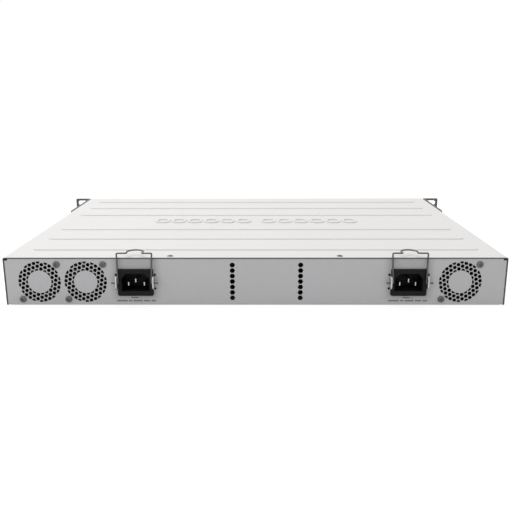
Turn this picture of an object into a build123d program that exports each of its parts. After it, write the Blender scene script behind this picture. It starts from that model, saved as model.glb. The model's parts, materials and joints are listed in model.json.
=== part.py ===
from build123d import *
import math
import os

# Rackmount network switch, one rack unit high. Millimetres, +Z up. The origin is at the
# centre of the underside, the port side faces -Y and the power inlets and fans face +Y.

# ------------------------------------------------------------------ driving dimensions
BODY_W = 443.0               # between the ears, 19-inch rack equipment
BODY_D = 297.0
BODY_H = 43.6                # fits one rack unit of 44.45
SHEET = 1.2                  # folded steel sheet
SEAM = 0.1                   # gap between folded sheets
PANEL_INSET = 0.3            # the end panels stand this far inside the cover's edge
REAR_Y = BODY_D / 2
FRONT_Y = -BODY_D / 2

BEND_R = 1.6                 # outer bend radius of the cover
RIB_L, RIB_W, RIB_H = 408.6, 19.0, 0.85
RIB_CORNER_R = 5.5
RIB_SLOPE = 15.0             # flank of a rib, from the vertical
RIB_WALL = 0.8               # the hollow under a rib is this much smaller all round
RIB_MID_Y = -5.4
RIB_FIRST, RIB_PITCH = 36.9, 41.45
BEAD_W, BEAD_D, BEAD_H = 15.6, 18.4, 1.0
BEAD_CUT, BEAD_STROKE = 4.0, 2.4
BEAD_PITCH, BEADS_PER_GROUP = 17.9, 6
BEAD_MID_X, BEAD_MID_Y = 58.4, -2.5

SCREW_HOLE_R = 1.7
COVER_SCREW_X, COVER_SCREW_Y = 74.8, 143.4
SIDE_SCREW_YS, SIDE_SCREW_Z = (-20.0, 120.0), 8.0
SIDE_VENT_YS, SIDE_VENT_Z = (-30.0, 25.0), 25.0
SIDE_VENT_COLUMNS, SIDE_VENT_ROWS = 9, 4

EAR_T = 2.4
EAR_H, EAR_Z = 43.0, 0.5
EAR_L = 86.0
EAR_CORNER_R, EAR_TIP_R = 3.0, 1.2
EAR_SPAN = 482.6             # overall width over the ears, 19 inches
RACK_HOLE_SPAN = 465.1       # rack holes, centre to centre
RACK_HOLE_RISE = 31.75
RACK_SLOT_L, RACK_SLOT_H = 12.4, 6.6
EAR_SCREW_YS, EAR_SCREW_ZS = (-132.0, -84.0), (10.0, 33.0)

FAN_XS = (190.5, 149.7, -181.0)
FAN_TURNS = (-20.0, -20.0, 20.0)
FAN_Z, FAN_W, FAN_D = 21.3, 40.0, 20.0
FAN_HOLES, FAN_SCREW_R = 32.0, 2.1
FAN_BORE_R, FAN_HUB_R = 18.7, 10.6
GRILLE_R_IN, GRILLE_R_OUT = 10.4, 18.8
GRILLE_PITCH, GRILLE_FLATS = 4.0, 3.2

VENT_XS = (19.87, -40.2)
VENT_COUNT, VENT_PITCH, VENT_FLATS, VENT_LOW_Z = 7, 5.05, 4.3, 6.45

INLET_XS = (105.5, -135.6)
INLET_Z = 21.0
FLANGE_W, FLANGE_H, FLANGE_T = 31.6, 24.4, 2.0
FLANGE_LOW_R, FLANGE_TOP_R, FLANGE_BEVEL = 1.6, 0.6, 0.3
FLANGE_NOTCH, FLANGE_NOTCH_H = 0.6, 13.2   # side notches that clear the bail tabs
BARREL_W, BARREL_H, BARREL_D, BARREL_CUT = 27.0, 20.0, 16.5, 3.5
CAVITY_W, CAVITY_H, CAVITY_D, CAVITY_CUT = 24.4, 15.8, 17.0, 4.4
MOUTH_BEVEL = 0.6
BLADE_GAUGE, BLADE_H = 2.0, 4.0
TIP_GAUGE, TIP_H, TIP_L = 0.9, 3.2, 1.6
LINE_DX, LINE_DZ, EARTH_DZ = 7.0, -2.6, 1.3
LINE_RECESS, EARTH_RECESS = 5.5, 2.8
BLADE_TAIL_Y = 124.0

TAB_X, TAB_T, TAB_H, TAB_PROUD = 16.2, 1.2, 12.0, 6.0
TAB_CORNER_R = 3.4
SLOT_PLAY = 0.2              # room round a tab in its slot
PLATE_W, PLATE_H, PLATE_CORNER_R = 47.6, 27.0, 2.0   # plate that the tabs are bent from
PLATE_PLAY = 0.5             # room round the inlet in that plate
RELIEF_R, RELIEF_DX = 1.1, 1.0   # round ends of the slots, just outside the tabs
WIRE_R, PIVOT_PLAY = 0.7, 0.1
PIVOT_RISE = 0.5             # pivot above the inlet's centre
PIVOT_Y = 152.6
BAIL_L, BAIL_LEAN = 26.5, 6.9
BAIL_LEG_LOW, BAIL_LEG_TOP, BAIL_STUB = 14.6, 15.4, 20.5
BAIL_LOW_BEND, BAIL_TOP_BEND = 0.8, 1.0
BAIL_ARC_R, BAIL_APEX, BAIL_HOOK_R = 7.2, 11.6, 1.3

FLOOR_GAP = 5.0              # height of the board standoffs
BOARD_T = 1.6
BOARD_Z = SHEET + FLOOR_GAP
DECK_Z = BOARD_Z + BOARD_T   # upper face of every circuit board

PORT_COLUMNS, PORT_PITCH = 6, 13.97
PORT_W, PORT_H, PORT_D = 11.8, 7.4, 14.0
JACK_H, JACK_D, JACK_MARGIN = 26.0, 24.0, 0.6
JACK_XS = (-152.0, -60.0)
JACK_BAR = 2.8               # bar between the upper and the lower row
LATCH_W, LATCH_H = 4.2, 2.0
SHIELD_T = 0.25

SFP_COUNT, SFP_X = 4, 33.0
SFP_W, SFP_H, SFP_D, SFP_WALL = 14.2, 9.0, 48.0, 0.6
SFP_PROUD = 1.0

USB_W, USB_H, USB_D, USB_WALL = 9.2, 3.4, 8.5, 0.3
USB_TONGUE_W, USB_TONGUE_T, USB_TONGUE_L = 6.7, 0.7, 7.0
USB_X, RESET_X, RESET_Z, LED_X, LED_Z = 92.0, 114.0, 12.5, 160.0, 12.5
RESET_R, RESET_TRAVEL = 1.5, 0.6
LED_COUNT, LED_PITCH, LED_R = 10, 6.5, 1.0

# ------------------------------------------------------------------ derived places
HALF_W = BODY_W / 2
REAR_FACE = REAR_Y - PANEL_INSET
REAR_INNER = REAR_FACE - SHEET
FRONT_FACE = FRONT_Y + PANEL_INSET
FRONT_INNER = FRONT_FACE + SHEET
WALL_INNER = HALF_W - SHEET
PANEL_W = 2 * (WALL_INNER - SEAM)
PANEL_H = BODY_H - SHEET - SEAM
FLOOR_D = 2 * (REAR_INNER - SEAM)
FLANGE_Y = REAR_FACE + FLANGE_T
PIVOT_Z = INLET_Z + PIVOT_RISE
TAB_Z = PIVOT_Z
RELIEF_RISE = TAB_H + 0.6
FAN_Y = REAR_INNER - FAN_D
BOARD_FRONT, BOARD_REAR, BOARD_W = -145.0, 4.0, 410.0
PSU_W, PSU_FRONT, PSU_REAR = 54.0, 22.0, 122.0
JACK_W = PORT_COLUMNS * PORT_PITCH + 2 * JACK_MARGIN
JACK_MID_Z = DECK_Z + JACK_H / 2
SFP_PITCH = SFP_W + SFP_WALL
SFP_GANG_W = SFP_COUNT * SFP_PITCH + SFP_WALL
SFP_GANG_H = SFP_H + 2 * SFP_WALL
USB_Z = DECK_Z + USB_H / 2
SIDES = (-1, 1)


def upright(y):
    """Sketch plane at depth y: local x is X, local y is Z, positive extrusion runs to -Y."""
    return Plane.XZ.offset(-y)


def seat(x, y, z, facing):
    """Plane at a point, facing along a direction, on which a screw or a nut is placed."""
    return Plane(origin=(x, y, z), z_dir=facing)


def save(piece, label):
    """Label a finished piece and write it as its own STEP file."""
    piece.part.label = label
    export_step(piece.part, "parts/" + label + ".step")


def octagon(w, h, cut):
    """Corners of a w by h rectangle with its four corners cut off."""
    a, b = w / 2, h / 2
    quarter = [(a, b - cut), (a - cut, b)]
    left = [(-x, y) for x, y in reversed(quarter)]
    return quarter + left + [(-x, -y) for x, y in quarter + left]


def relief_spots(x):
    """Round ends of the tab slots of the inlet at x, in the panel and in the plate behind it."""
    reach = TAB_X + RELIEF_DX
    return [(x + u * reach, TAB_Z + v * RELIEF_RISE / 2) for u in SIDES for v in SIDES]


def fan_screw_spots(x):
    """Screw places of the fan at x: two opposite corners of its hole square."""
    return [(x + s * FAN_HOLES / 2, FAN_Z - s * FAN_HOLES / 2) for s in SIDES]


def honeycomb(pitch, turn, r_low, r_high):
    """Centres of a triangular lattice, turned about its middle, between two radii."""
    reach = math.ceil(r_high / pitch) + 1
    centres = []
    for row in range(-2 * reach, 2 * reach + 1):
        for column in range(-2 * reach, 2 * reach + 1):
            point = Vector(pitch * (column + row / 2), pitch * row * math.sin(math.pi / 3))
            if r_low < point.length < r_high:
                centres.append(point.rotate(Axis.Z, turn))
    return centres


def cross_recess(head_d, top, depth):
    """Cut a cross-shaped driver recess into a screw head whose top is at z = top."""
    with BuildSketch(Plane.XY.offset(top)) as cross:
        Rectangle(0.56 * head_d, 0.16 * head_d)
        Rectangle(0.16 * head_d, 0.56 * head_d)
    extrude(cross.sketch, amount=-depth, mode=Mode.SUBTRACT)


def pan_screw(head_d, head_h, shank_r, shank_l):
    """Pan-head screw: the head's seat is on z = 0 and the shank runs to -Z."""
    with BuildPart() as screw:
        with BuildSketch(Plane.XZ):
            with BuildLine():
                Polyline((0, -shank_l), (shank_r, -shank_l), (shank_r, 0), (head_d / 2, 0),
                         (head_d / 2, 0.45 * head_h), (0.44 * head_d, 0.8 * head_h),
                         (0.36 * head_d, head_h), (0, head_h), close=True)
            make_face()
        revolve(axis=Axis.Z)
        cross_recess(head_d, head_h, 0.6 * head_h)
    return screw.part


def flat_screw(head_d, shank_r, shank_l):
    """Countersunk screw: the head's flat face is on z = 0 and the shank runs to -Z."""
    with BuildPart() as screw:
        with BuildSketch(Plane.XZ):
            with BuildLine():
                Polyline((0, 0), (head_d / 2, 0), (head_d / 2, -0.2),
                         (shank_r, -0.2 - head_d / 2 + shank_r), (shank_r, -shank_l), (0, -shank_l),
                         close=True)
            make_face()
        revolve(axis=Axis.Z)
        cross_recess(head_d, 0, 0.8)
    return screw.part


def lead(points, radii, wire_r):
    """Round lead along straight runs joined by tangent arcs."""
    with BuildPart() as wire:
        with BuildLine() as route:
            FilletPolyline(*points, radius=radii)
        with BuildSketch(Plane(origin=route.line @ 0, z_dir=route.line % 0)):
            Circle(wire_r)
        sweep(path=route.wire())
    return wire.part


os.makedirs("parts", exist_ok=True)

# ------------------------------------------------------------------ top cover
rib_ys = [RIB_MID_Y + side * (RIB_FIRST + k * RIB_PITCH) for side in SIDES for k in range(3)]
bead_steps = [(k - (BEADS_PER_GROUP - 1) / 2) * BEAD_PITCH for k in range(BEADS_PER_GROUP)]
bead_spots = [(side * BEAD_MID_X + step, BEAD_MID_Y) for side in SIDES for step in bead_steps]
inner_bead = (BEAD_W - 2 * BEAD_STROKE, BEAD_D - 2 * BEAD_STROKE, BEAD_CUT - 0.6 * BEAD_STROKE)
ear_screw_spots = [(y, z) for y in EAR_SCREW_YS for z in EAR_SCREW_ZS]

with BuildPart() as top_cover:
    with BuildSketch(upright(REAR_Y)) as cover_fold:
        with Locations((0, BODY_H / 2)):
            Rectangle(BODY_W, BODY_H)
        fillet(cover_fold.vertices().group_by(Axis.Y)[-1], BEND_R)
        with Locations((0, (BODY_H - SHEET) / 2)):
            Rectangle(BODY_W - 2 * SHEET, BODY_H - SHEET, mode=Mode.SUBTRACT)
    extrude(amount=BODY_D)
    # six raised ribs, hollow underneath as pressed sheet is
    for level, less, mode in ((BODY_H, 0, Mode.ADD), (BODY_H - SHEET, RIB_WALL, Mode.SUBTRACT)):
        with BuildSketch(Plane.XY.offset(level)):
            with Locations(*[(0, y) for y in rib_ys]):
                RectangleRounded(RIB_L - 2 * less, RIB_W - 2 * less, RIB_CORNER_R - less)
        extrude(amount=RIB_H, taper=RIB_SLOPE, mode=mode)
    # a row of plain raised octagon outlines
    with BuildSketch(Plane.XY.offset(BODY_H)):
        with Locations(*bead_spots):
            Polygon(*octagon(BEAD_W, BEAD_D, BEAD_CUT))
            Polygon(*octagon(*inner_bead), mode=Mode.SUBTRACT)
    extrude(amount=BEAD_H)
    with BuildSketch(Plane.XY.offset(BODY_H)):
        with Locations((-COVER_SCREW_X, COVER_SCREW_Y), (COVER_SCREW_X, COVER_SCREW_Y)):
            Circle(SCREW_HOLE_R)
    extrude(amount=-SHEET, mode=Mode.SUBTRACT)
    # screw holes and vent fields of both side walls
    with BuildSketch(Plane.YZ.offset(-HALF_W)):
        with Locations(*ear_screw_spots, *[(y, SIDE_SCREW_Z) for y in SIDE_SCREW_YS]):
            Circle(SCREW_HOLE_R)
        with Locations(*[(y, SIDE_VENT_Z) for y in SIDE_VENT_YS]):
            with HexLocations(VENT_PITCH / 2, SIDE_VENT_COLUMNS, SIDE_VENT_ROWS, major_radius=False):
                RegularPolygon(VENT_FLATS / 2, 6, major_radius=False, rotation=30)
    extrude(amount=BODY_W, mode=Mode.SUBTRACT)
save(top_cover, "top_cover")

# ------------------------------------------------------------------ bottom tray
TRAY_LIP_H, REAR_LIP_W, FRONT_LIP_W = 2.6, 110.0, 400.0
TRAY_WALL_H, TRAY_WALL_L, TRAY_WALL_MID_Y = 12.8, 200.0, 40.0

with BuildPart() as bottom_tray:
    with BuildSketch():
        Rectangle(PANEL_W, FLOOR_D)
    extrude(amount=SHEET)
    # low lips behind the two end panels
    with BuildSketch(Plane.XY.offset(SHEET)):
        with Locations((0, (FLOOR_D - SHEET) / 2)):
            Rectangle(REAR_LIP_W, SHEET)
        with Locations((0, -(FLOOR_D - SHEET) / 2)):
            Rectangle(FRONT_LIP_W, SHEET)
    extrude(amount=TRAY_LIP_H)
    # side walls behind the ears, under the walls of the cover
    with BuildSketch(Plane.XY.offset(SHEET)):
        with Locations((0, TRAY_WALL_MID_Y)):
            with GridLocations(PANEL_W - SHEET, 1, 2, 1):
                Rectangle(SHEET, TRAY_WALL_L)
    extrude(amount=TRAY_WALL_H)
    with BuildSketch(Plane.YZ.offset(-HALF_W)):
        with Locations(*[(y, SIDE_SCREW_Z) for y in SIDE_SCREW_YS]):
            Circle(SCREW_HOLE_R)
    extrude(amount=BODY_W, mode=Mode.SUBTRACT)
save(bottom_tray, "bottom_tray")

# ------------------------------------------------------------------ rear panel
NOTCH_W, NOTCH_TOP_H, NOTCH_LOW_H = 2.8, 1.4, 0.8
CUT_PLAY = 0.3               # room round an inlet in the panel
notch_x = (PANEL_W - NOTCH_W) / 2

with BuildPart() as rear_panel:
    with BuildSketch(upright(REAR_FACE)):
        with Locations((0, PANEL_H / 2)):
            Rectangle(PANEL_W, PANEL_H)
        # bend reliefs at the four corners
        with Locations((-notch_x, PANEL_H - NOTCH_TOP_H / 2), (notch_x, PANEL_H - NOTCH_TOP_H / 2)):
            Rectangle(NOTCH_W, NOTCH_TOP_H, mode=Mode.SUBTRACT)
        with Locations((-notch_x, NOTCH_LOW_H / 2), (notch_x, NOTCH_LOW_H / 2)):
            Rectangle(NOTCH_W, NOTCH_LOW_H, mode=Mode.SUBTRACT)
        # power inlet cut-outs and the slots of the bail tabs, with round relief ends
        for x in INLET_XS:
            with Locations((x, INLET_Z)):
                Rectangle(BARREL_W + 2 * CUT_PLAY, BARREL_H + 2 * CUT_PLAY, mode=Mode.SUBTRACT)
            for side in SIDES:
                with Locations((x + side * TAB_X, TAB_Z)):
                    Rectangle(TAB_T + 2 * SLOT_PLAY, RELIEF_RISE, mode=Mode.SUBTRACT)
            with Locations(*relief_spots(x)):
                Circle(RELIEF_R, mode=Mode.SUBTRACT)
        for x in FAN_XS:
            with Locations(*fan_screw_spots(x)):
                Circle(FAN_SCREW_R + 0.1, mode=Mode.SUBTRACT)
        for x in VENT_XS:
            with Locations(*[(x, VENT_LOW_Z + k * VENT_PITCH) for k in range(VENT_COUNT)]):
                RegularPolygon(VENT_FLATS / 2, 6, major_radius=False, mode=Mode.SUBTRACT)
    extrude(amount=SHEET)
    # honeycomb finger guards, trimmed to a ring in front of each fan
    for x, turn in zip(FAN_XS, FAN_TURNS):
        trim = 0.3 * GRILLE_FLATS
        cells = honeycomb(GRILLE_PITCH, turn, GRILLE_R_IN - trim, GRILLE_R_OUT + trim)
        with BuildSketch(upright(REAR_FACE)):
            with Locations((x, FAN_Z)):
                with Locations(*cells):
                    RegularPolygon(GRILLE_FLATS / 2, 6, major_radius=False, rotation=30 + turn)
                Circle(GRILLE_R_OUT, mode=Mode.INTERSECT)
                Circle(GRILLE_R_IN, mode=Mode.SUBTRACT)
        extrude(amount=SHEET, mode=Mode.SUBTRACT)
save(rear_panel, "rear_panel")

# ------------------------------------------------------------------ front panel
PORT_GAP = 0.2
with BuildPart() as front_panel:
    with BuildSketch(upright(FRONT_INNER)):
        with Locations((0, PANEL_H / 2)):
            Rectangle(PANEL_W, PANEL_H)
        for x in JACK_XS:
            with Locations((x, JACK_MID_Z)):
                Rectangle(JACK_W + 2 * (SHIELD_T + PORT_GAP), JACK_H + 2 * (SHIELD_T + PORT_GAP),
                          mode=Mode.SUBTRACT)
        with Locations((SFP_X, DECK_Z + SFP_GANG_H / 2)):
            Rectangle(SFP_GANG_W + 2 * PORT_GAP, SFP_GANG_H + 2 * PORT_GAP, mode=Mode.SUBTRACT)
        with Locations((USB_X, USB_Z)):
            SlotOverall(USB_W + 2 * PORT_GAP, USB_H + 2 * PORT_GAP, mode=Mode.SUBTRACT)
        with Locations((RESET_X, RESET_Z)):
            Circle(RESET_R + 0.05, mode=Mode.SUBTRACT)
        with Locations((LED_X, LED_Z)):
            with GridLocations(LED_PITCH, 1, LED_COUNT, 1):
                Circle(LED_R + 0.1, mode=Mode.SUBTRACT)
    extrude(amount=SHEET)
save(front_panel, "front_panel")

# ------------------------------------------------------------------ rack ears
EAR_IN = HALF_W + SEAM
EAR_OUT = EAR_IN + EAR_T
EAR_SINK_R = 3.4             # countersinks of the ear screws


def rack_ear(side):
    """Right-angle ear: side flange on the cover's wall, front flange with two rack slots."""
    with BuildPart() as ear:
        with BuildSketch(Plane.XY.offset(EAR_Z)):
            with Locations((side * (EAR_IN + EAR_T / 2), FRONT_Y + EAR_L / 2)):
                Rectangle(EAR_T, EAR_L)
            with Locations((side * (EAR_IN + EAR_SPAN / 2) / 2, FRONT_Y + EAR_T / 2)):
                Rectangle(EAR_SPAN / 2 - EAR_IN, EAR_T)
        extrude(amount=EAR_H)
        corner = Vector(side * EAR_IN, FRONT_Y, 0)
        bend = ear.edges().filter_by(Axis.Z).sort_by(lambda e: (e @ 0 - corner).length)
        fillet(bend[0], EAR_T - 0.3)
        fillet(ear.edges().filter_by(Axis.X).group_by(Axis.Y)[-1], EAR_CORNER_R)
        tips = ear.edges().filter_by(Axis.Y).group_by(lambda e: round(side * (e @ 0).X, 2))[-1]
        fillet(tips, EAR_TIP_R)
        with BuildSketch(upright(FRONT_Y)):
            for rise in SIDES:
                with Locations((side * RACK_HOLE_SPAN / 2, BODY_H / 2 + rise * RACK_HOLE_RISE / 2)):
                    SlotOverall(RACK_SLOT_L, RACK_SLOT_H)
        extrude(amount=-EAR_T, mode=Mode.SUBTRACT)
        with Locations(*[seat(side * EAR_OUT, y, z, (side, 0, 0)) for y, z in ear_screw_spots]):
            CounterSinkHole(SCREW_HOLE_R, EAR_SINK_R, depth=EAR_T)
    return ear


save(rack_ear(-1), "rack_ear_left")
save(rack_ear(1), "rack_ear_right")

# ------------------------------------------------------------------ fasteners of the case
NUT_R, NUT_T, THREAD_R = 2.75, 1.8, 1.5
ear_screw = flat_screw(5.6, THREAD_R, 7.0)
case_screw = pan_screw(5.4, 0.5, THREAD_R, 4.2)
wall_spots = [(side, y, z) for side in SIDES for y, z in ear_screw_spots]
side_spots = [(side, y, SIDE_SCREW_Z) for side in SIDES for y in SIDE_SCREW_YS]

with BuildPart() as ear_screws:
    with Locations(*[seat(s * (EAR_OUT - 0.3), y, z, (s, 0, 0)) for s, y, z in wall_spots]):
        add(ear_screw)
save(ear_screws, "ear_screws")

with BuildPart() as cover_screws:
    with Locations(*[seat(s * HALF_W, y, z, (s, 0, 0)) for s, y, z in side_spots]):
        add(case_screw)
    with Locations(*[seat(s * COVER_SCREW_X, COVER_SCREW_Y, BODY_H, (0, 0, 1)) for s in SIDES]):
        add(case_screw)
save(cover_screws, "cover_screws")

with BuildPart() as press_nut:
    with BuildSketch():
        Circle(NUT_R)
        Circle(THREAD_R, mode=Mode.SUBTRACT)
    extrude(amount=NUT_T)
tray_wall = PANEL_W / 2 - SHEET
with BuildPart() as press_nuts:
    with Locations(*[seat(s * WALL_INNER, y, z, (-s, 0, 0)) for s, y, z in wall_spots]):
        add(press_nut.part)
    with Locations(*[seat(s * tray_wall, y, z, (-s, 0, 0)) for s, y, z in side_spots]):
        add(press_nut.part)
save(press_nuts, "press_nuts")

# angle brackets welded behind the rear panel, which take the two screws of the cover
BRACKET_W, BRACKET_D, BRACKET_H = 12.0, 12.0, 10.0
with BuildPart() as cover_brackets:
    for side in SIDES:
        x = side * COVER_SCREW_X
        with BuildSketch(Plane.YZ.offset(x - BRACKET_W / 2)):
            with Locations((REAR_INNER - BRACKET_D / 2, BODY_H - SHEET - 0.8)):
                Rectangle(BRACKET_D, 1.6)
            with Locations((REAR_INNER - 0.6, BODY_H - SHEET - BRACKET_H / 2)):
                Rectangle(1.2, BRACKET_H)
        extrude(amount=BRACKET_W)
        with Locations(seat(x, COVER_SCREW_Y, BODY_H - SHEET, (0, 0, 1))):
            Hole(THREAD_R, depth=1.6)
save(cover_brackets, "cover_brackets")


# ------------------------------------------------------------------ power inlets
def blade_spots(x):
    """Centres of the line, neutral and earth blades of the inlet at x."""
    low = INLET_Z + LINE_DZ
    return [(x - LINE_DX, low), (x + LINE_DX, low), (x, INLET_Z + EARTH_DZ)]


def ac_inlet(x):
    """Moulded appliance inlet: flange, barrel through the panel, and a keyed cavity."""
    a, b = CAVITY_W / 2, CAVITY_H / 2
    c = CAVITY_CUT
    key = [(-a, -b), (a, -b), (a, b - c), (a - c, b), (c - a, b), (-a, b - c)]
    with BuildPart() as inlet:
        with BuildSketch(upright(FLANGE_Y)) as flange:
            with Locations((x, INLET_Z)):
                Rectangle(FLANGE_W, FLANGE_H)
            fillet(flange.vertices().group_by(Axis.Y)[0], FLANGE_LOW_R)
            fillet(flange.vertices().group_by(Axis.Y)[-1], FLANGE_TOP_R)
        extrude(amount=FLANGE_T)
        chamfer(inlet.faces().sort_by(Axis.Y)[-1].edges(), FLANGE_BEVEL)
        with BuildSketch(upright(FLANGE_Y)):
            with Locations((x, TAB_Z)):
                with GridLocations(FLANGE_W, 1, 2, 1):
                    Rectangle(2 * FLANGE_NOTCH, FLANGE_NOTCH_H)
        extrude(amount=FLANGE_T, mode=Mode.SUBTRACT)
        with BuildSketch(upright(REAR_FACE)) as barrel:
            with Locations((x, INLET_Z)):
                Rectangle(BARREL_W, BARREL_H)
            chamfer(barrel.vertices().group_by(Axis.Y)[-1], BARREL_CUT)
        extrude(amount=BARREL_D)
        with BuildSketch(upright(FLANGE_Y)):
            with Locations((x, INLET_Z)):
                Polygon(*key, align=None)
        extrude(amount=CAVITY_D, mode=Mode.SUBTRACT)
        chamfer(inlet.faces().sort_by(Axis.Y)[-1].inner_wires().edges(), MOUTH_BEVEL)
        with BuildSketch(upright(FLANGE_Y)):
            with Locations(*blade_spots(x)):
                Rectangle(BLADE_GAUGE, BLADE_H)
        extrude(amount=FLANGE_T + BARREL_D, mode=Mode.SUBTRACT)
    return inlet


def inlet_blades(x):
    """The three contact blades, from their tips in the cavity to the solder tails."""
    with BuildPart() as blades:
        for spot, recess in zip(blade_spots(x), (LINE_RECESS, LINE_RECESS, EARTH_RECESS)):
            tip = FLANGE_Y - recess
            shoulder = tip - TIP_L
            with BuildSketch(upright(shoulder)) as section:
                with Locations(spot):
                    Rectangle(BLADE_GAUGE, BLADE_H)
            with BuildSketch(upright(tip)) as end:
                with Locations(spot):
                    Rectangle(TIP_GAUGE, TIP_H)
            extrude(section.sketch, amount=shoulder - BLADE_TAIL_Y)
            loft([section.sketch.face(), end.sketch.face()])
    return blades


def bail_bracket(x):
    """Plate behind the panel with two tabs that pass out through it and carry the bail."""
    tab_tip = REAR_FACE + TAB_PROUD
    tab_root = REAR_INNER - TAB_T
    with BuildPart() as bracket:
        with BuildSketch(upright(REAR_INNER)):
            with Locations((x, INLET_Z)):
                RectangleRounded(PLATE_W, PLATE_H, PLATE_CORNER_R)
                Rectangle(BARREL_W + 2 * PLATE_PLAY, BARREL_H + 2 * PLATE_PLAY, mode=Mode.SUBTRACT)
            with Locations(*relief_spots(x)):
                Circle(RELIEF_R, mode=Mode.SUBTRACT)
        extrude(amount=TAB_T)
        for side in SIDES:
            with BuildSketch(Plane.YZ.offset(x + side * TAB_X - TAB_T / 2)) as tab:
                with Locations(((tab_tip + tab_root) / 2, TAB_Z)):
                    Rectangle(tab_tip - tab_root, TAB_H)
                fillet(tab.vertices().group_by(Axis.X)[-1], TAB_CORNER_R)
                with Locations((PIVOT_Y, PIVOT_Z)):
                    Circle(WIRE_R + PIVOT_PLAY, mode=Mode.SUBTRACT)
            extrude(amount=TAB_T)
    return bracket


def cord_bail(x):
    """Bent wire bail that holds the plug in; its finger loop lies level over the cover."""
    lean = math.radians(BAIL_LEAN)
    back = (0, -math.cos(lean), -math.sin(lean))
    frame = Plane(origin=(x, PIVOT_Y, PIVOT_Z), x_dir=(1, 0, 0), z_dir=back)
    # the finger loop is one large arc that meets a small hook bend at each end
    loop_w = BAIL_APEX - BAIL_ARC_R
    hook_u = math.sqrt((BAIL_ARC_R + BAIL_HOOK_R) ** 2 - (loop_w - BAIL_HOOK_R) ** 2)
    share = BAIL_ARC_R / (BAIL_ARC_R + BAIL_HOOK_R)
    meet_u = hook_u * share
    meet_w = loop_w - (loop_w - BAIL_HOOK_R) * share
    hook_end = math.atan2(meet_w - BAIL_HOOK_R, meet_u - hook_u)
    hook_mid = (hook_end + 1.5 * math.pi) / 2
    mid_u = hook_u + BAIL_HOOK_R * math.cos(hook_mid)
    mid_w = BAIL_HOOK_R + BAIL_HOOK_R * math.sin(hook_mid)

    def loop(u, back):
        """Point of the finger loop, which lies level at this distance behind the crossbar."""
        return (u, BAIL_L + back * math.sin(lean), back * math.cos(lean))

    with BuildPart() as bail:
        with BuildLine(frame) as route:
            FilletPolyline((-BAIL_STUB, 0, 0), (-BAIL_LEG_LOW, 0, 0), (-BAIL_LEG_TOP, BAIL_L, 0),
                           loop(-hook_u, 0), radius=[BAIL_LOW_BEND, BAIL_TOP_BEND])
            ThreePointArc(loop(-hook_u, 0), loop(-mid_u, mid_w), loop(-meet_u, meet_w))
            ThreePointArc(loop(-meet_u, meet_w), loop(0, BAIL_APEX), loop(meet_u, meet_w))
            ThreePointArc(loop(meet_u, meet_w), loop(mid_u, mid_w), loop(hook_u, 0))
            FilletPolyline(loop(hook_u, 0), (BAIL_LEG_TOP, BAIL_L, 0), (BAIL_LEG_LOW, 0, 0),
                           (BAIL_STUB, 0, 0), radius=[BAIL_TOP_BEND, BAIL_LOW_BEND])
        with BuildSketch(Plane(origin=(x - BAIL_STUB, PIVOT_Y, PIVOT_Z), z_dir=(1, 0, 0))):
            Circle(WIRE_R)
        sweep(path=route.wire())
    return bail


for number, x in enumerate(INLET_XS, 1):
    save(ac_inlet(x), f"ac_inlet_{number}")
    save(inlet_blades(x), f"inlet_blades_{number}")
    save(bail_bracket(x), f"bail_bracket_{number}")
    save(cord_bail(x), f"cord_bail_{number}")

# ------------------------------------------------------------------ fans
STRUT_T, STRUT_W = 2.4, 2.6
TUBE_R, BEARING_R, SHAFT_R = 3.0, 1.05, 1.0
TUBE_END = FAN_Y + 14.0
CUP_T, CUP_FRONT, CUP_BACK = 1.2, FAN_Y + 17.4, FAN_Y + 4.0
STATOR_R = 8.4
BLADES, BLADE_T = 7, 0.9


def fan_frame(x):
    """Square fan housing with its motor plate, three struts and bearing tube."""
    with BuildPart() as frame:
        with BuildSketch(upright(REAR_INNER)):
            with Locations((x, FAN_Z)):
                RectangleRounded(FAN_W, FAN_W, 3)
                Circle(FAN_BORE_R, mode=Mode.SUBTRACT)
                with GridLocations(FAN_HOLES, FAN_HOLES, 2, 2):
                    Circle(2.15, mode=Mode.SUBTRACT)
        extrude(amount=FAN_D)
        with BuildSketch(upright(FAN_Y + STRUT_T)):
            with Locations((x, FAN_Z)):
                Circle(FAN_HUB_R)
                with PolarLocations((FAN_BORE_R + FAN_HUB_R) / 2, 3, start_angle=30):
                    Rectangle(FAN_BORE_R - FAN_HUB_R + 1.6, STRUT_W)
        extrude(amount=STRUT_T)
        with BuildSketch(upright(TUBE_END)):
            with Locations((x, FAN_Z)):
                Circle(TUBE_R)
        extrude(amount=TUBE_END - FAN_Y)
        with BuildSketch(upright(TUBE_END)):
            with Locations((x, FAN_Z)):
                Circle(BEARING_R)
        extrude(amount=TUBE_END - FAN_Y - 0.8, mode=Mode.SUBTRACT)
    return frame


def fan_stator(x):
    """Four-pole stator pressed on the bearing tube."""
    with BuildPart() as stator:
        with BuildSketch(upright(FAN_Y + 12.0)):
            with Locations((x, FAN_Z)):
                Circle(STATOR_R)
                Circle(TUBE_R + 0.05, mode=Mode.SUBTRACT)
                with PolarLocations(6.9, 4, start_angle=45):
                    Rectangle(4.4, 1.8, mode=Mode.SUBTRACT)
        extrude(amount=7.0)
    return stator


def blade_plane(x, angle, radius, pitch):
    """Plane across a blade at a radius from the fan's axis, its x along the blade's chord."""
    out = Vector(math.cos(angle), 0, math.sin(angle))
    around = Vector(-math.sin(angle), 0, math.cos(angle))
    chord = around * math.cos(pitch) + Vector(0, 1, 0) * math.sin(pitch)
    hub = Vector(x, (CUP_FRONT + CUP_BACK) / 2, FAN_Z)
    return Plane(origin=hub + out * radius, x_dir=chord, z_dir=out)


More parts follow.
